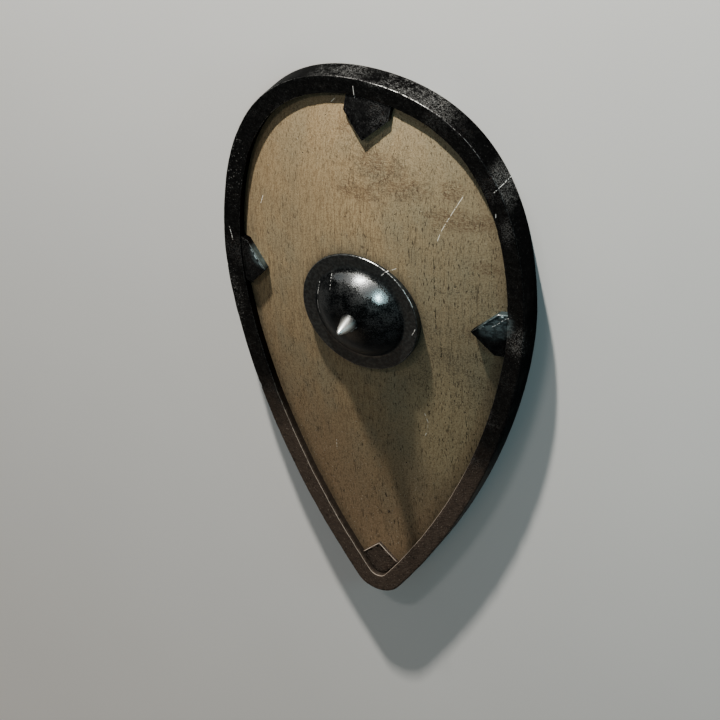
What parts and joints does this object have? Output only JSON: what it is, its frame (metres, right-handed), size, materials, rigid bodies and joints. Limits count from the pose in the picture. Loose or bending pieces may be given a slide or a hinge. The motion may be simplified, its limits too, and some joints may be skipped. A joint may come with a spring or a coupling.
{
  "type": "kite shield",
  "caption": "Kite shield: a dished wooden board in a deep iron rim, with pointed iron tabs reaching in from the rim and a round spiked iron boss over a hand grip.",
  "frame": {"origin": "middle of the outline, on the plane that the rim's back edge lies on", "axes": "+Y towards the round top, +Z out of the face, +X to the right of someone looking at the face with its top up"},
  "size_m": [0.5, 0.9, 0.1379],
  "materials": {
    "board_wood": "pale straight-grained wood, dry and matt, with pinholes, stains and fine cracks",
    "rim_iron": "blackened iron with grey worn edges and scratches, browned towards the tip",
    "tab_iron": "blackened iron, rough, with worn edges, browned on the tab at the tip",
    "boss_iron": "dark iron worn smooth and glossy, with fine scratches",
    "grip_wood": "darker wood, rubbed by the hand"
  },
  "bodies": {
    "root": {"board": "board_wood", "rim": "rim_iron", "boss": "boss_iron", "hand_grip": "grip_wood", "tab_top": "tab_iron", "tab_left": "tab_iron", "tab_right": "tab_iron", "tab_tip": "tab_iron"}
  },
  "joints": []
}
